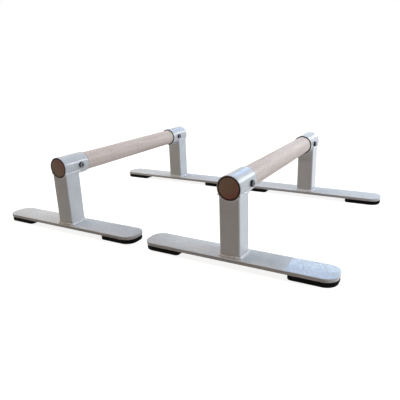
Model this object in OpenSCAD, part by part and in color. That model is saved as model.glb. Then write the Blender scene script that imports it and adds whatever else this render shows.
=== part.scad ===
// Pair of low parallette stands. Each stand is a round timber handle held in two welded steel
// sleeves, which stand on square posts over flat steel feet with rubber pads. A black liner
// centres the handle in each sleeve, and a screw through the sleeve's side clamps it.
// X runs along the feet, Y along the handles, Z up. The floor is Z = 0 and the origin lies on
// it, midway between the two stands.

/* [Pair] */
// Clear distance between the facing foot ends of the two stands
stand_gap = 33; // [5:1:300]

/* [Handle] */
// Diameter of the timber handle
handle_d = 42.5; // [32:0.5:50]
// Height of the handle axis above the floor
handle_h = 152; // [120:1:300]
// Depth that the end grain lies behind the sleeve's outer end
handle_recess = 0.5; // [0:0.1:3]

/* [Sleeves] */
// Length of each steel sleeve
sleeve_l = 75; // [65:1:120]
// Wall of the sleeve tube
sleeve_wall = 1.5; // [1:0.1:4]
// Distance that the sleeve's outer end stands past the post's outer face
sleeve_proud = 1; // [0.5:0.1:8]
// Wall of the black liner between the handle and the sleeve
liner_wall = 1.25; // [1:0.05:4]
// Distance that the liner stops short of each end of the sleeve
liner_recess = 0.8; // [0.2:0.1:3]

/* [Posts] */
// Distance between the centres of the front and rear posts
post_span = 480; // [360:1:700]
// Outside width of the square tube
post_w = 42; // [30:1:46]
// Wall of the square tube
post_wall = 2; // [1.5:0.1:4]
// Outside corner radius of the square tube
post_corner_r = 3; // [2.5:0.1:6]

/* [Feet] */
// Length of each flat steel foot
foot_l = 397; // [300:1:600]
// Width of each foot
foot_w = 60; // [56:1:90]
// Thickness of each foot
foot_t = 7; // [4:0.5:10]
// Corner radius of each foot
foot_corner_r = 24; // [8:0.5:27]

/* [Pads] */
// Length of each rubber pad
pad_l = 86; // [50:1:120]
// Height of each rubber pad
pad_h = 10; // [5:0.5:20]
// Distance that a pad's sides lie inside the foot's edge
pad_inset = 1; // [0.5:0.1:4]
// Corner radius at a pad's inner end
pad_inner_r = 8; // [2:0.5:18]

/* [Clamp screws] */
// Nominal diameter of the screw
screw_d = 8; // [6:1:10]
// Length of the screw under its head
screw_l = 16; // [12:1:20]
// Diameter of the socket head
head_d = 13; // [12.5:0.5:16]
// Height of the socket head
head_h = 5; // [4:0.5:10]
// Edge chamfer of the socket head
head_chamfer = 0.6; // [0.3:0.1:1.5]
// Width across the flats of the hexagon socket
socket_af = 5; // [4:0.5:8]
// Depth of the hexagon socket
socket_depth = 3; // [2:0.5:3.5]
// Distance from the sleeve's inboard mouth to the screw axis
screw_inset = 27; // [10:0.5:30]
// Wall of the threaded brass insert in the handle
insert_wall = 1.5; // [1:0.1:2.5]
// Length of the threaded brass insert
insert_l = 13.5; // [8:0.5:16]

/* [Welds] */
// Throat of the weld between a sleeve and its post
sleeve_weld = 3; // [2:0.5:4]
// Leg of the fillet weld between a post and its foot
foot_weld = 4; // [2:0.5:5]

/* [Fits] */
// Radial clearance between nested round parts
round_fit = 0.075; // [0.05:0.005:0.15]
// Root gap between a sleeve and the coped top of its post
root_gap = 0.2; // [0.1:0.05:0.3]
// Radial clearance of the screw in the sleeve and liner holes
hole_clear = 0.4; // [0.2:0.1:1]

/* [Hidden] */
$fn = 64;

// Stand and end of a part, as signs along X and Y
LEFT = -1;
RIGHT = 1;
FRONT = -1;
REAR = 1;

steel_colour = "#c3c8cd";
weld_colour = "#b4b9be";
timber_colour = "#d8c4b6";
rubber_colour = "#1b1b1c";
screw_colour = "#43474b";
brass_colour = "#b5924c";

stand_pitch = foot_l + stand_gap;
handle_r = handle_d/2;
liner_in_r = handle_r + round_fit;
liner_out_r = liner_in_r + liner_wall;
sleeve_in_r = liner_out_r + round_fit;
sleeve_r = sleeve_in_r + sleeve_wall;
sleeve_out_y = post_w/2 + sleeve_proud;
sleeve_mid_y = sleeve_out_y - sleeve_l/2;
screw_y = sleeve_out_y - sleeve_l + screw_inset;
handle_l = post_span + 2*(sleeve_out_y - handle_recess);
foot_top = pad_h + foot_t;
insert_r = screw_d/2 + round_fit + insert_wall;
insert_hole_r = insert_r + round_fit;
insert_out_x = sqrt(handle_r*handle_r - insert_hole_r*insert_hole_r) - round_fit;
insert_in_x = insert_out_x - insert_l;
seat_x = sleeve_r;
cut = 1;

// Moves a part from its place at a post's foot to the named stand and end
module at_post(side, end) {
  translate([side*stand_pitch/2, end*post_span/2, 0])
    children();
}

// Lies a part along Y on the handle axis
module on_axis(y) {
  translate([0, y, handle_h])
    rotate([90, 0, 0])
      children();
}

// Turns a part that points up so that it points along X, outwards from the handle axis
module on_screw_axis(end, x) {
  translate([x, end*screw_y, handle_h])
    rotate([0, 90, 0])
      children();
}

// Rectangle from x0 to x1 with corner radius r0 at x0 and r1 at x1, centred on Y
module rounded_bar(x0, x1, w, r0, r1) {
  translate([x0 + r0, -w/2])
    square([x1 - x0 - r0 - r1, w]);
  translate([x0, -w/2 + r0])
    square([r0, w - 2*r0]);
  translate([x1 - r1, -w/2 + r1])
    square([r1, w - 2*r1]);
  for (s = [-1, 1]) {
    translate([x0 + r0, s*(w/2 - r0)])
      circle(r = r0);
    translate([x1 - r1, s*(w/2 - r1)])
      circle(r = r1);
  }
}

// Outline of the square tube, or of its hollow when inset by the wall
module post_outline(inset) {
  half = post_w/2 - inset;
  r = post_corner_r - inset;
  rounded_bar(-half, half, 2*half, max(r, 0.5), max(r, 0.5));
}

// Round timber handle, with a blind hole for each threaded insert
module handle(side) {
  color(timber_colour)
    translate([side*stand_pitch/2, 0, 0])
      difference() {
        on_axis(0)
          cylinder(h = handle_l, r = handle_r, center = true);
        for (end = [FRONT, REAR])
          translate([0, end*post_span/2, 0])
            on_screw_axis(end, insert_in_x - round_fit)
              cylinder(h = handle_r, r = insert_hole_r);
      }
}

// Steel tube that holds one end of the handle, drilled for the clamp screw
module sleeve(side, end) {
  color(steel_colour)
    at_post(side, end)
      difference() {
        on_axis(end*sleeve_mid_y)
          cylinder(h = sleeve_l, r = sleeve_r, center = true);
        on_axis(end*sleeve_mid_y)
          cylinder(h = sleeve_l + 2*cut, r = sleeve_in_r, center = true);
        on_screw_axis(end, handle_r)
          cylinder(h = sleeve_r, r = screw_d/2 + hole_clear);
      }
}

// Black liner between the handle and its sleeve, with a hole for the screw
module liner(side, end) {
  color(rubber_colour)
    at_post(side, end)
      difference() {
        on_axis(end*sleeve_mid_y)
          cylinder(h = sleeve_l - 2*liner_recess, r = liner_out_r, center = true);
        on_axis(end*sleeve_mid_y)
          cylinder(h = sleeve_l, r = liner_in_r, center = true);
        on_screw_axis(end, handle_r/2)
          cylinder(h = sleeve_r, r = screw_d/2 + hole_clear);
      }
}

// Square tube, coped at the top to the sleeve
module post(side, end) {
  color(steel_colour)
    at_post(side, end)
      difference() {
        translate([0, 0, foot_top])
          linear_extrude(handle_h - foot_top)
            post_outline(0);
        translate([0, 0, foot_top - cut])
          linear_extrude(handle_h - foot_top + 2*cut)
            post_outline(post_wall);
        on_axis(0)
          cylinder(h = post_w + 2*cut, r = sleeve_r + root_gap, center = true);
      }
}

// Flat steel foot with rounded ends
module foot(side, end) {
  color(steel_colour)
    at_post(side, end)
      translate([0, 0, pad_h])
        linear_extrude(foot_t)
          rounded_bar(-foot_l/2, foot_l/2, foot_w, foot_corner_r, foot_corner_r);
}

// Rubber pad under one end of a foot, rounded with the foot at its outer end
module pad(side, end, hand) {
  outer_x = foot_l/2 - pad_inset;
  inner_x = foot_l/2 - pad_l;
  w = foot_w - 2*pad_inset;
  outer_r = foot_corner_r - pad_inset;
  color(rubber_colour)
    at_post(side, end)
      linear_extrude(pad_h)
        if (hand == LEFT)
          rounded_bar(-outer_x, -inner_x, w, outer_r, pad_inner_r);
        else
          rounded_bar(inner_x, outer_x, w, pad_inner_r, outer_r);
}

// Low socket-head screw through the sleeve and liner into the threaded insert
module screw(side, end) {
  head_r = head_d/2;
  color(screw_colour)
    at_post(side, end)
      difference() {
        on_screw_axis(end, seat_x)
          union() {
            rotate_extrude()
              polygon([
                [0, 0],
                [head_r, 0],
                [head_r, head_h - head_chamfer],
                [head_r - head_chamfer, head_h],
                [0, head_h]
              ]);
            translate([0, 0, -screw_l])
              cylinder(h = screw_l + head_h/2, r = screw_d/2);
          }
        on_screw_axis(end, seat_x + head_h - socket_depth)
          cylinder(h = socket_depth + cut, r = socket_af/sqrt(3), $fn = 6);
      }
}

// Threaded brass insert pressed into the handle
module insert(side, end) {
  color(brass_colour)
    at_post(side, end)
      difference() {
        on_screw_axis(end, insert_in_x)
          cylinder(h = insert_l, r = insert_r);
        on_screw_axis(end, insert_in_x - cut)
          cylinder(h = insert_l + 2*cut, r = screw_d/2 + round_fit);
      }
}

// Weld that fills the corner between a sleeve and the faces of its post
module sleeve_weld_bead(side, end) {
  outer_reach = sleeve_proud - root_gap;
  span_y = post_w + sleeve_weld + outer_reach;
  span_x = post_w + 2*sleeve_weld;
  color(weld_colour)
    at_post(side, end)
      difference() {
        intersection() {
          on_axis(0)
            cylinder(h = 2*span_y, r = sleeve_r + sleeve_weld, center = true);
          translate([-span_x/2, end*(outer_reach - sleeve_weld)/2 - span_y/2, handle_h - 2*sleeve_r])
            cube([span_x, span_y, 2*sleeve_r]);
        }
        on_axis(0)
          cylinder(h = 3*span_y, r = sleeve_r, center = true);
        translate([0, 0, foot_top])
          linear_extrude(handle_h)
            post_outline(0);
      }
}

// Four-sided fillet weld round the base of a post
module foot_weld_bead(side, end) {
  base = post_w/2 + foot_weld;
  crest = post_w/2 + foot_weld/4;
  span = 2*base;
  profile = [[-base, 0], [base, 0], [crest, foot_weld], [-crest, foot_weld]];
  color(weld_colour)
    at_post(side, end)
      translate([0, 0, foot_top])
        difference() {
          intersection() {
            translate([0, span/2, 0])
              rotate([90, 0, 0])
                linear_extrude(span)
                  polygon(profile);
            translate([-span/2, 0, 0])
              rotate([90, 0, 90])
                linear_extrude(span)
                  polygon(profile);
          }
          translate([0, 0, -cut])
            linear_extrude(foot_weld + 2*cut)
              post_outline(0);
        }
}

handle(RIGHT);  // right_handle
sleeve(RIGHT, FRONT);  // right_front_sleeve
sleeve(RIGHT, REAR);  // right_rear_sleeve
liner(RIGHT, FRONT);  // right_front_liner
liner(RIGHT, REAR);  // right_rear_liner
post(RIGHT, FRONT);  // right_front_post
post(RIGHT, REAR);  // right_rear_post
foot(RIGHT, FRONT);  // right_front_foot
foot(RIGHT, REAR);  // right_rear_foot
pad(RIGHT, FRONT, LEFT);  // right_front_left_pad
pad(RIGHT, FRONT, RIGHT);  // right_front_right_pad
pad(RIGHT, REAR, LEFT);  // right_rear_left_pad
pad(RIGHT, REAR, RIGHT);  // right_rear_right_pad
screw(RIGHT, FRONT);  // right_front_screw
screw(RIGHT, REAR);  // right_rear_screw
insert(RIGHT, FRONT);  // right_front_insert
insert(RIGHT, REAR);  // right_rear_insert
sleeve_weld_bead(RIGHT, FRONT);  // right_front_sleeve_weld
sleeve_weld_bead(RIGHT, REAR);  // right_rear_sleeve_weld
foot_weld_bead(RIGHT, FRONT);  // right_front_foot_weld
foot_weld_bead(RIGHT, REAR);  // right_rear_foot_weld
handle(LEFT);  // left_handle
sleeve(LEFT, FRONT);  // left_front_sleeve
sleeve(LEFT, REAR);  // left_rear_sleeve
liner(LEFT, FRONT);  // left_front_liner
liner(LEFT, REAR);  // left_rear_liner
post(LEFT, FRONT);  // left_front_post
post(LEFT, REAR);  // left_rear_post
foot(LEFT, FRONT);  // left_front_foot
foot(LEFT, REAR);  // left_rear_foot
pad(LEFT, FRONT, LEFT);  // left_front_left_pad
pad(LEFT, FRONT, RIGHT);  // left_front_right_pad
pad(LEFT, REAR, LEFT);  // left_rear_left_pad
pad(LEFT, REAR, RIGHT);  // left_rear_right_pad
screw(LEFT, FRONT);  // left_front_screw
screw(LEFT, REAR);  // left_rear_screw
insert(LEFT, FRONT);  // left_front_insert
insert(LEFT, REAR);  // left_rear_insert
sleeve_weld_bead(LEFT, FRONT);  // left_front_sleeve_weld
sleeve_weld_bead(LEFT, REAR);  // left_rear_sleeve_weld
foot_weld_bead(LEFT, FRONT);  // left_front_foot_weld
foot_weld_bead(LEFT, REAR);  // left_rear_foot_weld
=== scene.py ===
import math
import random

import bmesh
import bpy
from mathutils import Matrix, Vector


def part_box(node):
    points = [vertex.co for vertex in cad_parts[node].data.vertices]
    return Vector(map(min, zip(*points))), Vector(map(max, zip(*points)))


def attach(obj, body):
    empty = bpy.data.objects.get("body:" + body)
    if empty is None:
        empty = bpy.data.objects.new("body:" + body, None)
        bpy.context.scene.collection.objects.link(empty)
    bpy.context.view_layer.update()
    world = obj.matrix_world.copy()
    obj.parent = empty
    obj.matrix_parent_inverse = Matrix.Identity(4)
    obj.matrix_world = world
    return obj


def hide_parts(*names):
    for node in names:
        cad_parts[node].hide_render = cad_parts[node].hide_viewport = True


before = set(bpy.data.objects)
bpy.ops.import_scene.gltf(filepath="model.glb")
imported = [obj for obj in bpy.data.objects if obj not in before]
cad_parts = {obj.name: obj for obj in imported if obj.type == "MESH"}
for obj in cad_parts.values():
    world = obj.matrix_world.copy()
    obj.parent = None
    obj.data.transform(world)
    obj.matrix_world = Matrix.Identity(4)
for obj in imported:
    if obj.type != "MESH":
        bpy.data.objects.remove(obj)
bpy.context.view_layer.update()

# Camera
# The viewpoint was solved from the photograph. It stands in front of the pair and to its
# right, above handle height, and leans over by about two degrees.
CAMERA_AT = (0.5354, -0.9141, 0.3631)
CAMERA_TURN = math.radians(30.23)
CAMERA_DOWN = math.radians(17.64)
CAMERA_LEAN = math.radians(-2.11)
LENS_MM = 38.04
SENSOR_MM = 36
NEAREST_SEEN = 0.01
bpy.ops.object.select_all(action="DESELECT")
bpy.ops.object.camera_add(location=CAMERA_AT)
camera = bpy.context.active_object
aim = Matrix.Rotation(CAMERA_TURN, 3, "Z") @ Matrix.Rotation(math.pi / 2 - CAMERA_DOWN, 3, "X")
camera.rotation_euler = (aim @ Matrix.Rotation(CAMERA_LEAN, 3, "Z")).to_euler()
camera.data.lens = LENS_MM
camera.data.sensor_width = SENSOR_MM
camera.data.clip_start = NEAREST_SEEN
bpy.context.scene.camera = camera
bpy.context.scene.view_settings.view_transform = "Standard"


# Floor
# A white studio floor, matt, with the soft shadow of the feet on it. The eye and the gloss see it
# as white, and a little darker close round the object, so that the shadow isn't washed out.
def linear(hex_colour):
    """An sRGB hex colour as the linear RGBA that Blender's sockets hold."""
    parts = [int(hex_colour[i:i + 2], 16) / 255 for i in (1, 3, 5)]
    return [c / 12.92 if c <= 0.04045 else ((c + 0.055) / 1.055) ** 2.4 for c in parts] + [1]


def add_node(tree, kind, inputs=None, **settings):
    """Adds a node, sets its settings, and sets or links its input sockets."""
    node = tree.nodes.new(kind)
    for name, value in settings.items():
        setattr(node, name, value)
    for socket, value in (inputs or {}).items():
        if isinstance(value, bpy.types.NodeSocket):
            tree.links.new(value, node.inputs[socket])
        else:
            node.inputs[socket].default_value = value
    return node


def new_material(name):
    """An empty node material, with its node tree and its output node."""
    material = bpy.data.materials.new(name)
    material.use_nodes = True
    material.node_tree.nodes.clear()
    output = add_node(material.node_tree, "ShaderNodeOutputMaterial")
    return material, material.node_tree, output


def seen_directly(tree):
    """A socket that is 1 for what the eye, gloss and glass see, and 0 for light on a surface."""
    rays = add_node(tree, "ShaderNodeLightPath")
    both = add_node(tree, "ShaderNodeMath", {
        0: rays.outputs["Is Camera Ray"], 1: rays.outputs["Is Glossy Ray"]}, operation="MAXIMUM")
    every = add_node(tree, "ShaderNodeMath", {
        0: both.outputs[0], 1: rays.outputs["Is Transmission Ray"]}, operation="MAXIMUM")
    return every.outputs[0]


FLOOR_SIZE = 30
SHADOW_REACH = 0.8
WHITE_REACH = 1.6
SHADOW_GLOW = 0.87
bpy.ops.object.select_all(action="DESELECT")
bpy.ops.mesh.primitive_plane_add(size=FLOOR_SIZE)
floor = bpy.context.active_object
floor.name = "studio_floor"
floor_paint, tree, output = new_material("white_studio_floor")
place = add_node(tree, "ShaderNodeTexCoord")
reach = add_node(tree, "ShaderNodeVectorMath", {0: place.outputs["Object"]}, operation="LENGTH")
glow = add_node(tree, "ShaderNodeMapRange", {
    "Value": reach.outputs["Value"], "From Min": SHADOW_REACH, "From Max": WHITE_REACH,
    "To Min": SHADOW_GLOW, "To Max": 1.0}, interpolation_type="SMOOTHSTEP")
strength = add_node(tree, "ShaderNodeMath", {
    0: seen_directly(tree), 1: glow.outputs["Result"]}, operation="MULTIPLY")
shine = add_node(tree, "ShaderNodeEmission", {"Strength": strength.outputs[0]})
matte = add_node(tree, "ShaderNodeBsdfDiffuse", {"Color": linear("#a0a0a0")})
both = add_node(tree, "ShaderNodeAddShader", {0: shine.outputs[0], 1: matte.outputs[0]})
tree.links.new(both.outputs[0], output.inputs["Surface"])
floor.data.materials.append(floor_paint)

# Studio light
# Five broad panels give the light on the object, and its gloss doesn't show them. The six small
# lamps hang where a glossy part mirrors them to the front: four strips draw the bright lines along
# the sleeves, and a blue window over its sill lies on the end of the right front foot.
ROOM_STRENGTH = 0.02
world = bpy.data.worlds.new("studio_room")
bpy.context.scene.world = world
world.use_nodes = True
tree = world.node_tree
tree.nodes.clear()
output = add_node(tree, "ShaderNodeOutputWorld")
room = add_node(tree, "ShaderNodeBackground", {
    "Color": linear("#fff0dc"), "Strength": ROOM_STRENGTH})
white = add_node(tree, "ShaderNodeBackground", {"Color": (1, 1, 1, 1), "Strength": 1.0})
mixed = add_node(tree, "ShaderNodeMixShader", {
    0: seen_directly(tree), 1: room.outputs[0], 2: white.outputs[0]})
tree.links.new(mixed.outputs[0], output.inputs["Surface"])


def hang_lamp(name, at, size, watts, tint, mirrored=False):
    """Hangs a rectangular lamp that faces the object, seen in its gloss or not."""
    bpy.ops.object.light_add(type="AREA", location=at)
    light = bpy.context.active_object
    light.name = name
    light.rotation_euler = (-Vector(at)).to_track_quat("-Z", "Y").to_euler()
    light.data.shape = "RECTANGLE"
    light.data.size, light.data.size_y = size
    light.data.energy = watts
    light.data.color = linear(tint)[:3]
    light.visible_glossy = mirrored


hang_lamp("key_panel", (2.3, 0.3, 1.3), (1.0, 0.9), 39.5, "#e3f3ff")
hang_lamp("overhead_panel", (-0.35, 0.45, 2.2), (1.4, 1.4), 19.5, "#edf2ff")
hang_lamp("left_high_panel", (-1.7, 0.5, 1.8), (1.0, 1.0), 18, "#ddf1ff")
hang_lamp("right_front_fill", (2.0, -1.6, 0.7), (1.0, 0.8), 7.4, "#ffc698")
hang_lamp("left_fill", (-2.2, -0.3, 1.3), (1.4, 1.2), 22, "#ffca68")
hang_lamp("left_glint_strip", (1.95, 1.95, 1.22), (0.34, 0.4), 9.4, "#ffffff", mirrored=True)
hang_lamp("right_band_strip", (1.38, 2.51, 1.02), (0.46, 0.6), 7.3, "#f4f8ff", mirrored=True)
hang_lamp("far_band_strip", (0.7, 2.85, 0.77), (0.3, 0.4), 2.0, "#ffffff", mirrored=True)
hang_lamp("left_far_band_strip", (0.68, 1.96, 0.86), (0.34, 0.28), 2.5, "#ffffff", mirrored=True)
hang_lamp("blue_window", (-0.11, 1.96, 1.25), (0.62, 0.2), 1.7, "#3aa4ff", mirrored=True)
hang_lamp("bright_sill", (-0.2, 1.96, 1.035), (0.51, 0.2), 2.05, "#b2dbff", mirrored=True)


# Feet
# Four lengths of flat steel bar with rounded ends, their edges eased by grinding, under a
# silver powder coat. Each post is welded to the middle of its foot.
MM = 0.001
STANDS = ("right", "left")
ENDS = ("front", "rear")
STAND_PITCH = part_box("right_front_post")[0].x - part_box("left_front_post")[0].x
FOOT_CORNER = 24 * MM
FOOT_EASE = 0.8 * MM
# An edge or a normal with this share of its length along an axis counts as lying along it.
FACING = 0.9


def pick(piece):
    """Makes a piece the only selected object, and the active one."""
    bpy.ops.object.select_all(action="DESELECT")
    piece.select_set(True)
    bpy.context.view_layer.objects.active = piece


def edit_where(piece, kind, test):
    """Opens a piece in edit mode and selects the verts, edges or faces that pass the test."""
    pick(piece)
    bpy.ops.object.mode_set(mode="EDIT")
    bpy.ops.mesh.select_mode(type={"verts": "VERT", "edges": "EDGE", "faces": "FACE"}[kind])
    bpy.ops.mesh.select_all(action="DESELECT")
    shape = bmesh.from_edit_mesh(piece.data)
    for element in getattr(shape, kind):
        if test(element):
            element.select_set(True)
    bmesh.update_edit_mesh(piece.data)


def name_piece(name):
    """Names the new object, and puts its place, turn and size into its mesh."""
    piece = bpy.context.active_object
    piece.name = piece.data.name = name
    bpy.ops.object.transform_apply(location=True, rotation=True, scale=True)
    return piece


def smooth(piece, degrees=35):
    """Smooth shading on all but the sharp edges."""
    pick(piece)
    bpy.ops.object.shade_smooth_by_angle(angle=math.radians(degrees))


def block(name, node):
    """A block as large as a node of the frame."""
    low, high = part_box(node)
    bpy.ops.object.select_all(action="DESELECT")
    bpy.ops.mesh.primitive_cube_add(size=1, location=(low + high) / 2, scale=high - low)
    return name_piece(name)


def is_upright(edge):
    """True for an edge that runs along Z."""
    return abs((edge.verts[0].co - edge.verts[1].co).normalized().z) > FACING


def is_rim(edge):
    """True for an edge between a level face and an upright one."""
    faces = edge.link_faces
    return len(faces) == 2 and abs(abs(faces[0].normal.z) - abs(faces[1].normal.z)) > FACING


def round_edges(piece, test, radius, segments):
    """Rounds the edges that pass the test."""
    edit_where(piece, "edges", test)
    bpy.ops.mesh.bevel(offset=radius, offset_type="OFFSET", segments=segments, affect="EDGES")
    bpy.ops.object.mode_set(mode="OBJECT")


def finish_with(piece, kind, **settings):
    """Adds a modifier to a piece and applies it."""
    pick(piece)
    modifier = piece.modifiers.new(kind.lower(), kind)
    for name, value in settings.items():
        setattr(modifier, name, value)
    bpy.ops.object.modifier_apply(modifier=modifier.name)


def level(piece):
    """Shades the flats of an eased piece as flat, and its eased edges as round."""
    finish_with(piece, "WEIGHTED_NORMAL", keep_sharp=True)


def fit_out(model, part, material, has_flats=False):
    """Copies a right front model to both stands and ends, where each stands for its CAD node."""
    for stand in STANDS:
        for end in ENDS:
            node = f"{stand}_{end}_{part}"
            pick(model)
            bpy.ops.object.duplicate()
            piece = bpy.context.active_object
            piece.name = piece.data.name = node + "_piece"
            if stand == "left":
                piece.location.x = -STAND_PITCH
            if end == "rear":
                piece.scale.y = -1
            bpy.ops.object.transform_apply(location=True, rotation=True, scale=True)
            if end == "rear":
                edit_where(piece, "faces", lambda face: True)
                bpy.ops.mesh.normals_make_consistent(inside=False)
                bpy.ops.object.mode_set(mode="OBJECT")
            if has_flats:
                level(piece)
            piece.data.materials.clear()
            piece.data.materials.append(material)
            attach(piece, stand + "_stand")
            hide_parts(node)
    bpy.data.objects.remove(model)


# Silver polyester powder, sprayed on and baked. It gives the eye a pale, slightly uneven tone
# under a clear gloss, which the fine waviness called orange peel breaks into a sparkle. Real peel
# is about 1 mm across, and it is drawn coarser here, because it would be lost in the render.
# Things rubbed on it leave faint pale lines.
ORANGE_PEEL_MM = 4.2
PEEL_RELIEF_MM = 0.3
UNEVEN_MM = 40
RUB_LONG_MM = 14
RUB_WIDE_MM = 0.8
RUB_TURN = math.radians(24)


def powder_coat(name, rubbed, peel_strength, gloss, mottle, tones=("#bcc0c4", "#c9ccd0")):
    """Silver powder coat. Rubbed is how strongly the rubbed lines show, from 0 to 1, and mottle
    is how far the gloss differs between the dimples of the peel, from 0 to 1."""
    material, tree, output = new_material(name)
    place = add_node(tree, "ShaderNodeTexCoord")
    patches = add_node(tree, "ShaderNodeTexNoise", {
        "Vector": place.outputs["Object"], "Scale": 1 / (UNEVEN_MM * MM), "Detail": 3})
    tone = add_node(tree, "ShaderNodeValToRGB", {"Fac": patches.outputs["Fac"]})
    tone.color_ramp.elements[0].position = 0.3
    tone.color_ramp.elements[0].color = linear(tones[0])
    tone.color_ramp.elements[1].position = 0.7
    tone.color_ramp.elements[1].color = linear(tones[1])
    turned = add_node(tree, "ShaderNodeMapping", {
        "Vector": place.outputs["Object"], "Rotation": (0, 0, RUB_TURN)})
    stretched = add_node(tree, "ShaderNodeMapping", {
        "Vector": turned.outputs["Vector"],
        "Scale": (1 / (RUB_LONG_MM * MM), 1 / (RUB_WIDE_MM * MM), 1 / (RUB_WIDE_MM * MM))})
    lines = add_node(tree, "ShaderNodeTexNoise", {
        "Vector": stretched.outputs["Vector"], "Scale": 1, "Detail": 2})
    marks = add_node(tree, "ShaderNodeMapRange", {
        "Value": lines.outputs["Fac"], "From Min": 0.57, "From Max": 0.70, "To Max": rubbed})
    colour = add_node(tree, "ShaderNodeMix", {
        "Factor": marks.outputs["Result"], "A": tone.outputs["Color"], "B": linear("#eceff2")},
        data_type="RGBA")
    peel = add_node(tree, "ShaderNodeTexNoise", {
        "Vector": place.outputs["Object"], "Scale": 1 / (ORANGE_PEEL_MM * MM), "Detail": 1})
    bump = add_node(tree, "ShaderNodeBump", {
        "Height": peel.outputs["Fac"], "Strength": peel_strength,
        "Distance": PEEL_RELIEF_MM * MM})
    dimples = add_node(tree, "ShaderNodeMapRange", {
        "Value": peel.outputs["Fac"], "From Min": 0.42, "From Max": 0.58,
        "To Min": gloss * (1 - mottle), "To Max": min(1, gloss * (1 + mottle))})
    shader = add_node(tree, "ShaderNodeBsdfPrincipled", {
        "Base Color": colour.outputs["Result"], "Metallic": 0.0, "Roughness": 0.45,
        "Specular IOR Level": 0.2, "Coat Weight": dimples.outputs["Result"],
        "Coat Roughness": 0.03, "Coat IOR": 1.5,
        "Normal": bump.outputs["Normal"], "Coat Normal": bump.outputs["Normal"]})
    tree.links.new(shader.outputs[0], output.inputs["Surface"])
    return material


foot_coat = powder_coat("silver_powder_coat_rubbed", rubbed=0.5, peel_strength=0.08, gloss=0.33,
                        mottle=0.9)
foot = block("foot_model", "right_front_foot")
round_edges(foot, is_upright, FOOT_CORNER, 14)
round_edges(foot, is_rim, FOOT_EASE, 3)
smooth(foot)
fit_out(foot, "foot", foot_coat, has_flats=True)

# Rubber pads
# Eight black rubber pads, moulded, and stuck under the ends of the feet. The outer end follows
# the foot's rounding, and the inner end has small round corners.
PAD_OUTER_CORNER = 23 * MM
PAD_INNER_CORNER = 8 * MM
PAD_EASE = 1.2 * MM

# Moulded rubber is matt and near black, with a dull grain that breaks up what light it returns.
RUBBER_GRAIN_MM = 0.8
RUBBER_RELIEF_MM = 0.3
black_rubber, tree, output = new_material("moulded_black_rubber")
place = add_node(tree, "ShaderNodeTexCoord")
grain = add_node(tree, "ShaderNodeTexNoise", {
    "Vector": place.outputs["Object"], "Scale": 1 / (RUBBER_GRAIN_MM * MM), "Detail": 4})
tone = add_node(tree, "ShaderNodeValToRGB", {"Fac": grain.outputs["Fac"]})
tone.color_ramp.elements[0].color = linear("#050505")
tone.color_ramp.elements[1].color = linear("#101011")
bump = add_node(tree, "ShaderNodeBump", {
    "Height": grain.outputs["Fac"], "Strength": 0.25, "Distance": RUBBER_RELIEF_MM * MM})
shader = add_node(tree, "ShaderNodeBsdfPrincipled", {
    "Base Color": tone.outputs["Color"], "Roughness": 0.85, "Specular IOR Level": 0.1,
    "Normal": bump.outputs["Normal"]})
tree.links.new(shader.outputs[0], output.inputs["Surface"])

for pad_end, outward in (("left", -1), ("right", 1)):
    node = f"right_front_{pad_end}_pad"
    low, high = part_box(node)
    middle = (low.x + high.x) / 2
    near_inner_end = (high.x - low.x) / 2 - MM
    pad = block(f"pad_{pad_end}_model", node)
    round_edges(pad, lambda edge: is_upright(edge) and (edge.verts[0].co.x - middle) * outward > 0,
                PAD_OUTER_CORNER, 12)
    round_edges(pad, lambda edge: is_upright(edge)
                and (middle - edge.verts[0].co.x) * outward > near_inner_end,
                PAD_INNER_CORNER, 6)
    round_edges(pad, is_rim, PAD_EASE, 3)
    smooth(pad)
    fit_out(pad, f"{pad_end}_pad", black_rubber, has_flats=True)

# Posts
# Four stubs of square steel tube with rounded corners, cut at the top to fit the sleeve, and
# coated like the feet.
POST_CORNER = 3 * MM
POST_WALL = 2 * MM
ROOT_GAP = 0.2 * MM
post_coat = powder_coat("silver_powder_coat", rubbed=0.1, peel_strength=0.03, gloss=1.0, mottle=0.1)
sleeve_low, sleeve_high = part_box("right_front_sleeve")
AXIS_X = (sleeve_low.x + sleeve_high.x) / 2
AXIS_Z = (sleeve_low.z + sleeve_high.z) / 2
SLEEVE_R = (sleeve_high.z - sleeve_low.z) / 2
post_low, post_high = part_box("right_front_post")
POST_Y = (post_low.y + post_high.y) / 2
POST_HALF = (post_high.y - post_low.y) / 2


def rod(name, centre, radius, length, along, sides=96, ends="NGON"):
    """A round rod, along X or Y."""
    turn = (math.pi / 2, 0, 0) if along == "Y" else (0, math.pi / 2, 0)
    bpy.ops.object.select_all(action="DESELECT")
    bpy.ops.mesh.primitive_cylinder_add(vertices=sides, radius=radius, depth=length,
                                        end_fill_type=ends, location=centre, rotation=turn)
    return name_piece(name)


def cut_away(piece, cutter):
    """Cuts one piece by another, and removes the cutter."""
    finish_with(piece, "BOOLEAN", operation="DIFFERENCE", solver="EXACT", object=cutter)
    bpy.data.objects.remove(cutter)


post = block("post_model", "right_front_post")
round_edges(post, is_upright, POST_CORNER, 8)
edit_where(post, "faces", lambda face: face.normal.z > FACING)
bpy.ops.transform.translate(value=(0, 0, AXIS_Z - post_high.z))
bpy.ops.object.mode_set(mode="OBJECT")
edit_where(post, "faces", lambda face: abs(face.normal.z) > FACING)
bpy.ops.mesh.delete(type="FACE")
bpy.ops.object.mode_set(mode="OBJECT")
finish_with(post, "SOLIDIFY", thickness=POST_WALL, offset=-1, use_even_offset=True)
cut_away(post, rod("cope", (AXIS_X, POST_Y, AXIS_Z), SLEEVE_R + ROOT_GAP, 3 * POST_HALF, "Y"))
smooth(post)
fit_out(post, "post", post_coat, has_flats=True)

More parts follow.
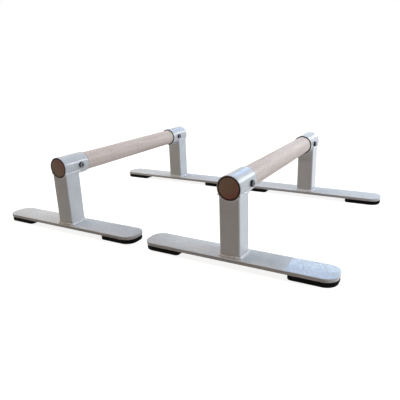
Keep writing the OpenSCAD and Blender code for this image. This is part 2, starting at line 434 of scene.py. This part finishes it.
# Sleeves
# Four short lengths of round steel tube that hold the handle. The outer edges of both mouths are
# well rounded and the inner ones deburred, and the side is drilled for the clamp screw.
SLEEVE_WALL = 1.5 * MM
SLEEVE_OUTER_EASE = 0.8 * MM
SLEEVE_INNER_EASE = 0.3 * MM
SCREW_HOLE_R = 4.4 * MM
screw_low, screw_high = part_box("right_front_screw")
SCREW_Y = (screw_low.y + screw_high.y) / 2
# Points as close as this count as one place.
NEAR = 0.1 * MM


def tube(name, node, wall, outer_ease, inner_ease):
    """A round tube along Y, as large as a node, with eased rims and the screw's hole."""
    low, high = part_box(node)
    radius = (high.z - low.z) / 2
    piece = rod(name, (low + high) / 2, radius, high.y - low.y, "Y", sides=128, ends="NOTHING")
    finish_with(piece, "SOLIDIFY", thickness=wall, offset=-1, use_even_offset=True)

    def runs_round_mouth(edge, at_radius):
        start, stop = (vert.co for vert in edge.verts)
        out = Vector((start.x - AXIS_X, start.z - AXIS_Z)).length
        return abs(start.y - stop.y) < NEAR and abs(out - at_radius) < NEAR

    round_edges(piece, lambda edge: runs_round_mouth(edge, radius), outer_ease, 5)
    round_edges(piece, lambda edge: runs_round_mouth(edge, radius - wall), inner_ease, 3)
    drill = rod("drill", (AXIS_X + radius, SCREW_Y, AXIS_Z), SCREW_HOLE_R, radius, "X", sides=48)
    cut_away(piece, drill)
    smooth(piece)
    return piece


sleeve = tube("sleeve_model", "right_front_sleeve", SLEEVE_WALL, SLEEVE_OUTER_EASE,
              SLEEVE_INNER_EASE)
sleeve_coat = powder_coat("silver_powder_coat_sleeve", rubbed=0.1, peel_strength=0.03, gloss=0.4,
                          mottle=0.1)
fit_out(sleeve, "sleeve", sleeve_coat, has_flats=True)

# Liners
# Four black rubber tubes that centre the handle in its sleeves. At the sleeve's outer mouth each
# shows as a thin dark ring. At the inner mouth each ends in a black lip that covers nearly all of
# the sleeve's steel end face: the lip is painted shade, standing in for the shade that falls there.
LINER_WALL = 1.25 * MM
LINER_EASE = 0.3 * MM
SHADE_LIP_T = 0.6 * MM
SHADE_LIP_R = 23.8 * MM
liner = tube("liner_model", "right_front_liner", LINER_WALL, LINER_EASE, LINER_EASE)
liner_low, liner_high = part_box("right_front_liner")
liner_bore_r = (liner_high.z - liner_low.z) / 2 - LINER_WALL
mouth_y = sleeve_high.y
edit_where(liner, "verts", lambda vert: vert.co.y > liner_high.y - 2 * LINER_EASE)
bpy.ops.transform.translate(value=(0, mouth_y + SHADE_LIP_T / 2 - liner_high.y, 0))
bpy.ops.object.mode_set(mode="OBJECT")
# Painted shade: this black lip over the sleeve's steel end face stands in for the shade on that
# face.
shade_lip = rod("shade_lip", (AXIS_X, mouth_y + SHADE_LIP_T / 2, AXIS_Z), SHADE_LIP_R, SHADE_LIP_T, "Y", sides=128,
          ends="NOTHING")
finish_with(shade_lip, "SOLIDIFY", thickness=SHADE_LIP_R - liner_bore_r, offset=-1, use_even_offset=True)
pick(liner)
shade_lip.select_set(True)
bpy.ops.object.join()
smooth(liner)
fit_out(liner, "liner", black_rubber, has_flats=True)

# Handles
# Two round beech bars, turned, sanded and lightly oiled, with eased square ends. The long grain
# is pale and pinkish with fine short flecks, and the end grain is much darker.
HANDLE_EASE = 1.2 * MM
SHARP_EDGE = math.radians(60)
INSERT_PLAY = 0.075 * MM
# A face that leans at least this far toward an end of the bar shows end grain.
END_TILT = 0.2

# Beech along the grain is pale and pinkish, with a soft lengthwise figure, and the oil leaves it
# satin. Its flecks are the cut rays, about 3 mm long and half a millimetre wide. They are drawn
# at over twice that size, so that the render shows them.
FLECK_LONG_MM = 7
FLECK_WIDE_MM = 1.7
FLECK_RELIEF_MM = 0.3
FIGURE_LONG_MM = 120
FIGURE_WIDE_MM = 9


def beech_side(name):
    """Turned beech along the grain."""
    material, tree, output = new_material(name)
    place = add_node(tree, "ShaderNodeTexCoord")
    long = add_node(tree, "ShaderNodeMapping", {
        "Vector": place.outputs["Object"],
        "Scale": (1 / (FIGURE_WIDE_MM * MM), 1 / (FIGURE_LONG_MM * MM), 1 / (FIGURE_WIDE_MM * MM))})
    figure = add_node(tree, "ShaderNodeTexNoise", {
        "Vector": long.outputs["Vector"], "Scale": 1, "Detail": 3, "Roughness": 0.6})
    base = add_node(tree, "ShaderNodeValToRGB", {"Fac": figure.outputs["Fac"]})
    base.color_ramp.elements[0].position = 0.3
    base.color_ramp.elements[0].color = linear("#c6b6ad")
    base.color_ramp.elements[1].position = 0.7
    base.color_ramp.elements[1].color = linear("#d4c7bf")
    short = add_node(tree, "ShaderNodeMapping", {
        "Vector": place.outputs["Object"],
        "Scale": (1 / (FLECK_WIDE_MM * MM), 1 / (FLECK_LONG_MM * MM), 1 / (FLECK_WIDE_MM * MM))})
    flecks = add_node(tree, "ShaderNodeTexNoise", {
        "Vector": short.outputs["Vector"], "Scale": 1, "Detail": 3, "Roughness": 0.6})
    dark = add_node(tree, "ShaderNodeMapRange", {
        "Value": flecks.outputs["Fac"], "From Min": 0.52, "From Max": 0.70, "To Max": 0.6})
    colour = add_node(tree, "ShaderNodeMix", {
        "Factor": dark.outputs["Result"], "A": base.outputs["Color"], "B": linear("#9a7e71")},
        data_type="RGBA")
    bump = add_node(tree, "ShaderNodeBump", {
        "Height": flecks.outputs["Fac"], "Strength": 0.15, "Distance": FLECK_RELIEF_MM * MM})
    shader = add_node(tree, "ShaderNodeBsdfPrincipled", {
        "Base Color": colour.outputs["Result"], "Roughness": 0.55,
        "Normal": bump.outputs["Normal"]})
    tree.links.new(shader.outputs[0], output.inputs["Surface"])
    return material


# End grain drinks the oil and turns a dull dark brown, with faint growth rings round a heart that
# lies outside the bar. Each bar has its own tone, and the redder wood wanders across it. The eased
# edge is painted near black: painted shade, for the shade in the gap between the bar and its liner.
# The pores are finer than the render can show, and are drawn at 0.7 mm.
GROWTH_RING_MM = 2.4
RING_WAVER_MM = 5
RING_WAVER_LONG_MM = 18
HEART_ASIDE = 31 * MM
HEART_BELOW = 22 * MM
RED_PATCH_MM = 24
RED_WANDER = 20 * MM
RED_STARTS = -6 * MM
RED_IS_FULL = 24 * MM
PORE_MM = 0.7
PORE_RELIEF_MM = 0.2
LEFT_BRIGHTNESS = 1.38
RIGHT_BRIGHTNESS = 1.1
LEFT_DEPTH = 0.72
RIGHT_DEPTH = 1.0
SHADE_RING_R = 20.6 * MM
SHADE_RING_SOFT = 0.3 * MM


def beech_end(name):
    """Sawn and oiled beech end grain, with painted shade round its rim."""
    material, tree, output = new_material(name)
    place = add_node(tree, "ShaderNodeTexCoord")
    split = add_node(tree, "ShaderNodeSeparateXYZ", {"Vector": place.outputs["Object"]})
    inward = add_node(tree, "ShaderNodeMath", {0: split.outputs["X"]}, operation="ABSOLUTE")
    across = add_node(tree, "ShaderNodeMath", {
        0: inward.outputs[0], 1: AXIS_X + HEART_ASIDE}, operation="SUBTRACT")
    up = add_node(tree, "ShaderNodeMath", {
        0: split.outputs["Z"], 1: AXIS_Z - HEART_BELOW}, operation="SUBTRACT")
    flat = add_node(tree, "ShaderNodeCombineXYZ", {"X": across.outputs[0], "Y": up.outputs[0]})
    waver = add_node(tree, "ShaderNodeTexNoise", {
        "Vector": flat.outputs["Vector"], "Scale": 1 / (RING_WAVER_LONG_MM * MM), "Detail": 2})
    from_heart = add_node(tree, "ShaderNodeVectorMath", {0: flat.outputs["Vector"]},
                          operation="LENGTH")
    wavy = add_node(tree, "ShaderNodeMath", {
        0: waver.outputs["Fac"], 1: RING_WAVER_MM * MM, 2: from_heart.outputs["Value"]},
        operation="MULTIPLY_ADD")
    turns = add_node(tree, "ShaderNodeMath", {
        0: wavy.outputs[0], 1: 2 * math.pi / (GROWTH_RING_MM * MM)}, operation="MULTIPLY")
    rings = add_node(tree, "ShaderNodeMath", {0: turns.outputs[0]}, operation="SINE")
    base = add_node(tree, "ShaderNodeMapRange", {
        "Value": rings.outputs[0], "From Min": -1, "From Max": 1})
    tone = add_node(tree, "ShaderNodeValToRGB", {"Fac": base.outputs["Result"]})
    tone.color_ramp.elements[0].color = linear("#8d7765")
    tone.color_ramp.elements[1].color = linear("#9c8877")
    from_axis_x = add_node(tree, "ShaderNodeMath", {
        0: inward.outputs[0], 1: AXIS_X}, operation="SUBTRACT")
    from_axis_z = add_node(tree, "ShaderNodeMath", {
        0: split.outputs["Z"], 1: AXIS_Z}, operation="SUBTRACT")
    lean = add_node(tree, "ShaderNodeMath", {
        0: from_axis_x.outputs[0], 1: from_axis_z.outputs[0]}, operation="SUBTRACT")
    side = add_node(tree, "ShaderNodeMath", {0: split.outputs["X"]}, operation="SIGN")
    heart = add_node(tree, "ShaderNodeTexNoise", {
        "Vector": place.outputs["Object"], "Scale": 1 / (RED_PATCH_MM * MM), "Detail": 1})
    wander = add_node(tree, "ShaderNodeMapRange", {
        "Value": heart.outputs["Fac"], "To Min": -RED_WANDER, "To Max": RED_WANDER})
    toward_red = add_node(tree, "ShaderNodeMath", {
        0: lean.outputs[0], 1: side.outputs[0], 2: wander.outputs["Result"]},
        operation="MULTIPLY_ADD")
    red = add_node(tree, "ShaderNodeMapRange", {
        "Value": toward_red.outputs[0], "From Min": RED_STARTS, "From Max": RED_IS_FULL})
    stained = add_node(tree, "ShaderNodeMix", {
        "Factor": red.outputs["Result"], "A": tone.outputs["Color"], "B": linear("#946459")},
        data_type="RGBA")
    pores = add_node(tree, "ShaderNodeTexNoise", {
        "Vector": place.outputs["Object"], "Scale": 1 / (PORE_MM * MM), "Detail": 2})
    dark = add_node(tree, "ShaderNodeMapRange", {
        "Value": pores.outputs["Fac"], "From Min": 0.5, "From Max": 0.75, "To Max": 0.5})
    grain = add_node(tree, "ShaderNodeMix", {
        "Factor": dark.outputs["Result"], "A": stained.outputs["Result"], "B": linear("#5c443a")},
        data_type="RGBA")
    spoke = add_node(tree, "ShaderNodeCombineXYZ", {
        "X": from_axis_x.outputs[0], "Y": from_axis_z.outputs[0]})
    out = add_node(tree, "ShaderNodeVectorMath", {0: spoke.outputs["Vector"]}, operation="LENGTH")
    # Painted shade: near its rim the end grain turns near black, for the shade in the gap round the
    # bar.
    edge = add_node(tree, "ShaderNodeMapRange", {
        "Value": out.outputs["Value"], "From Min": SHADE_RING_R - SHADE_RING_SOFT,
        "From Max": SHADE_RING_R})
    own_tone = add_node(tree, "ShaderNodeMapRange", {
        "Value": split.outputs["X"], "From Min": -AXIS_X, "From Max": AXIS_X,
        "To Min": LEFT_BRIGHTNESS, "To Max": RIGHT_BRIGHTNESS})
    own_depth = add_node(tree, "ShaderNodeMapRange", {
        "Value": split.outputs["X"], "From Min": -AXIS_X, "From Max": AXIS_X,
        "To Min": LEFT_DEPTH, "To Max": RIGHT_DEPTH})
    toned = add_node(tree, "ShaderNodeHueSaturation", {
        "Color": grain.outputs["Result"], "Saturation": own_depth.outputs["Result"],
        "Value": own_tone.outputs["Result"]})
    colour = add_node(tree, "ShaderNodeMix", {
        "Factor": edge.outputs["Result"], "A": toned.outputs["Color"], "B": linear("#0a0807")},
        data_type="RGBA")
    bump = add_node(tree, "ShaderNodeBump", {
        "Height": pores.outputs["Fac"], "Strength": 0.2, "Distance": PORE_RELIEF_MM * MM})
    shader = add_node(tree, "ShaderNodeBsdfPrincipled", {
        "Base Color": colour.outputs["Result"], "Roughness": 0.75, "Specular IOR Level": 0.25,
        "Normal": bump.outputs["Normal"]})
    tree.links.new(shader.outputs[0], output.inputs["Surface"])
    return material


def paint_faces(piece, material, test):
    """Gives a piece a second material, on the faces that pass the test."""
    piece.data.materials.append(material)
    edit_where(piece, "faces", test)
    piece.active_material_index = 1
    bpy.ops.object.material_slot_assign()
    bpy.ops.object.mode_set(mode="OBJECT")


side_grain = beech_side("oiled_beech_long_grain")
end_grain = beech_end("oiled_beech_end_grain")
for stand in STANDS:
    node = stand + "_handle"
    low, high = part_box(node)
    radius = (high.z - low.z) / 2
    handle = rod(node + "_piece", (low + high) / 2, radius, high.y - low.y, "Y", sides=128)
    finish_with(handle, "BEVEL", width=HANDLE_EASE, segments=3, limit_method="ANGLE",
                angle_limit=SHARP_EDGE)
    for end in ENDS:
        insert_low, insert_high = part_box(f"{stand}_{end}_insert")
        drill_at = (insert_low + insert_high) / 2
        hole_r = (insert_high.z - insert_low.z) / 2 + INSERT_PLAY
        drill = rod("drill", (insert_low.x + radius, drill_at.y, drill_at.z), hole_r, 2 * radius,
                    "X", sides=48)
        cut_away(handle, drill)
    smooth(handle)
    level(handle)
    handle.data.materials.clear()
    handle.data.materials.append(side_grain)
    paint_faces(handle, end_grain, lambda face: abs(face.normal.y) > END_TILT)
    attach(handle, stand + "_stand")
    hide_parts(node)

# Clamp screws
# Four low-head socket screws, rolled with a straight knurl round the head and blackened, one
# through the right side of each sleeve into the handle.
HEAD_R = 6.5 * MM
HEAD_EASE = 0.6 * MM
KNURL_TEETH = 40
KNURL_DEPTH = 0.22 * MM
SHANK_R = 4 * MM
SOCKET_AF = 5 * MM
SOCKET_DEPTH = 3 * MM
SHANK_INTO_HEAD = 1 * MM
HEAD_SEAT = AXIS_X + SLEEVE_R
HEAD_HEIGHT = screw_high.x - HEAD_SEAT


def in_groove(vert):
    """True for every second vertex round the knurled side."""
    arm = Vector((0, vert.co.y - SCREW_Y, vert.co.z - AXIS_Z))
    step = math.atan2(arm.z, arm.y) / (math.pi / KNURL_TEETH)
    return arm.length > HEAD_R - NEAR and round(step) % 2 == 0


screw = rod("screw_model", (HEAD_SEAT + HEAD_HEIGHT / 2, SCREW_Y, AXIS_Z), HEAD_R, HEAD_HEIGHT,
            "X", sides=2 * KNURL_TEETH)
round_edges(screw, lambda edge: all(vert.co.x > HEAD_SEAT + HEAD_HEIGHT - NEAR
                                    for vert in edge.verts), HEAD_EASE, 3)
edit_where(screw, "verts", in_groove)
bpy.ops.transform.resize(value=(1, 1 - KNURL_DEPTH / HEAD_R, 1 - KNURL_DEPTH / HEAD_R),
                         center_override=(HEAD_SEAT, SCREW_Y, AXIS_Z))
bpy.ops.object.mode_set(mode="OBJECT")
socket = rod("socket", (HEAD_SEAT + HEAD_HEIGHT, SCREW_Y, AXIS_Z), SOCKET_AF / math.sqrt(3),
             2 * SOCKET_DEPTH, "X", sides=6)
cut_away(screw, socket)
shank = rod("shank", ((screw_low.x + HEAD_SEAT) / 2 + SHANK_INTO_HEAD / 2, SCREW_Y, AXIS_Z), SHANK_R,
            HEAD_SEAT - screw_low.x + SHANK_INTO_HEAD, "X", sides=48)
finish_with(screw, "BOOLEAN", operation="UNION", solver="EXACT", object=shank)
bpy.data.objects.remove(shank)
smooth(screw, 25)

# Blackened steel is a dark satin grey, a little patchy where the oxide film is thinner.
FILM_PATCH_MM = 2
dark_steel, tree, output = new_material("blackened_steel")
place = add_node(tree, "ShaderNodeTexCoord")
film = add_node(tree, "ShaderNodeTexNoise", {
    "Vector": place.outputs["Object"], "Scale": 1 / (FILM_PATCH_MM * MM), "Detail": 3})
tone = add_node(tree, "ShaderNodeValToRGB", {"Fac": film.outputs["Fac"]})
tone.color_ramp.elements[0].color = linear("#16181a")
tone.color_ramp.elements[1].color = linear("#2a2d30")
shader = add_node(tree, "ShaderNodeBsdfPrincipled", {
    "Base Color": tone.outputs["Color"], "Metallic": 0.7, "Roughness": 0.42})
tree.links.new(shader.outputs[0], output.inputs["Surface"])
fit_out(screw, "screw", dark_steel)

# The head's end face is drawn in a paler steel than the knurled side: a painted highlight, for the
# light that the flat face catches and mirrors.
highlit_face_steel, tree, output = new_material("blackened_steel_face_painted_highlight")
shader = add_node(tree, "ShaderNodeBsdfPrincipled", {
    "Base Color": linear("#75797d"), "Metallic": 0.5, "Roughness": 0.45})
tree.links.new(shader.outputs[0], output.inputs["Surface"])
for stand in STANDS:
    for end in ENDS:
        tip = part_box(f"{stand}_{end}_screw")[1].x
        paint_faces(bpy.data.objects[f"{stand}_{end}_screw_piece"], highlit_face_steel,
                    lambda face: face.normal.x > FACING
                    and face.calc_center_median().x > tip - NEAR)

# Welds
# Each post is joined to its foot and to its sleeve by a hand-laid bead, whose overlapping
# ripples show through the silver coat. The coat is drawn paler on the beads, a painted highlight
# for the glints that their ripples catch.
RIPPLE_PITCH = 2.1 * MM
BEAD_VOXEL = 0.4 * MM
DROP_DRIFT = 0.2
DROP_SIZES = (0.85, 1.15)
DROP_RISE = 0.4
SEED = 11
welder = random.Random(SEED)


def bead(name, stops):
    """A weld bead: a row of overlapping drops, each (centre, radius), melted into one skin."""
    bpy.ops.object.select_all(action="DESELECT")
    drops = []
    for centre, radius in stops:
        bpy.ops.mesh.primitive_ico_sphere_add(subdivisions=3, radius=radius, location=centre)
        drops.append(bpy.context.active_object)
    for drop in drops:
        drop.select_set(True)
    bpy.ops.object.join()
    piece = name_piece(name)
    finish_with(piece, "REMESH", mode="VOXEL", voxel_size=BEAD_VOXEL)
    finish_with(piece, "SMOOTH", factor=0.5, iterations=1)
    pick(piece)
    bpy.ops.object.shade_smooth()
    return piece


def wobble(centre, radius):
    """A drop near its place, a little larger or smaller, as a hand lays it."""
    jitter = Vector([welder.uniform(-DROP_DRIFT, DROP_DRIFT) * radius for _ in range(3)])
    return Vector(centre) + jitter, radius * welder.uniform(*DROP_SIZES)


# Painted highlight: the beads' coat is paler than the rest, for the glints on their ripples.
weld_coat_painted_highlight = powder_coat("silver_powder_coat_weld_painted_highlight", rubbed=0.1, peel_strength=0.03, gloss=1.0,
                        mottle=0.1, tones=("#dde1e6", "#e6e9ee"))

# The lower bead goes once round the post: four straight runs, each with a quarter turn after it.
FOOT_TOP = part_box("right_front_foot")[1].z
BASE_DROP_R = 3.0 * MM
BASE_LIFT = 0.8 * MM
BASE_OUT = 0.9 * MM
base_ring = POST_HALF + BASE_OUT
base_corner = POST_CORNER + BASE_OUT
flat_run = 2 * (base_ring - base_corner)
quarter = base_corner * math.pi / 2
count = round(4 * (flat_run + quarter) / RIPPLE_PITCH)
stops = []
for index in range(count):
    travel = index / count * 4
    side = int(travel)
    along = (travel % 1) * (flat_run + quarter)
    if along < flat_run:
        spot = Vector((base_ring, along - flat_run / 2, 0))
    else:
        turn = (along - flat_run) / base_corner
        spot = Vector((flat_run / 2 + base_corner * math.cos(turn),
                       flat_run / 2 + base_corner * math.sin(turn), 0))
    spot.rotate(Matrix.Rotation(side * math.pi / 2, 3, "Z"))
    stops.append(wobble((AXIS_X + spot.x, POST_Y + spot.y, FOOT_TOP + BASE_LIFT), BASE_DROP_R))
fit_out(bead("foot_weld_model", stops), "foot_weld", weld_coat_painted_highlight)

# The upper bead runs straight along both sides of the post, and round under the sleeve in front
# of the post and behind it. In front there is little room at the sleeve's mouth, so it is thin.
SIDE_DROP_R = 1.9 * MM
FRONT_DROP_R = 1.2 * MM
SIDE_OUT = 0.5 * MM
SIDE_BELOW = 0.6 * MM
FRONT_OUT = 0.1 * MM
REAR_OUT = 0.6 * MM
seam_angle = math.asin(POST_HALF / SLEEVE_R)
seam_drop = SLEEVE_R * math.cos(seam_angle)
stops = []
for way in (-1, 1):
    for index in range(round(2 * POST_HALF / RIPPLE_PITCH) + 1):
        y = post_low.y + index * RIPPLE_PITCH
        stops.append(wobble((AXIS_X + way * (POST_HALF + SIDE_OUT), min(y, post_high.y),
                             AXIS_Z - seam_drop - SIDE_BELOW), SIDE_DROP_R))
steps = round(2 * seam_angle * SLEEVE_R / RIPPLE_PITCH)
for y, radius in ((post_low.y - FRONT_OUT, FRONT_DROP_R), (post_high.y + REAR_OUT, SIDE_DROP_R)):
    for index in range(steps + 1):
        angle = seam_angle * (2 * index / steps - 1)
        reach = SLEEVE_R + DROP_RISE * radius
        stops.append(wobble((AXIS_X + reach * math.sin(angle), y,
                             AXIS_Z - reach * math.cos(angle)), radius))
fit_out(bead("sleeve_weld_model", stops), "sleeve_weld", weld_coat_painted_highlight)

# Threaded inserts
# Four brass inserts pressed into the handles, which the clamp screws bite in. They are turned
# from bar, which leaves them bright with fine tool marks, and they lie hidden under the sleeves.
TURNING_MM = 0.25
TURNING_LONG_MM = 16.7
brass, tree, output = new_material("turned_brass")
place = add_node(tree, "ShaderNodeTexCoord")
stretched = add_node(tree, "ShaderNodeMapping", {
    "Vector": place.outputs["Object"],
    "Scale": (1 / (TURNING_MM * MM), 1 / (TURNING_LONG_MM * MM), 1 / (TURNING_LONG_MM * MM))})
marks = add_node(tree, "ShaderNodeTexNoise", {
    "Vector": stretched.outputs["Vector"], "Scale": 1, "Detail": 2})
tone = add_node(tree, "ShaderNodeValToRGB", {"Fac": marks.outputs["Fac"]})
tone.color_ramp.elements[0].color = linear("#a8853f")
tone.color_ramp.elements[1].color = linear("#c6a45c")
shader = add_node(tree, "ShaderNodeBsdfPrincipled", {
    "Base Color": tone.outputs["Color"], "Metallic": 1.0, "Roughness": 0.3})
tree.links.new(shader.outputs[0], output.inputs["Surface"])
for stand in STANDS:
    for end in ENDS:
        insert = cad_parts[f"{stand}_{end}_insert"]
        insert.data.materials.clear()
        insert.data.materials.append(brass)
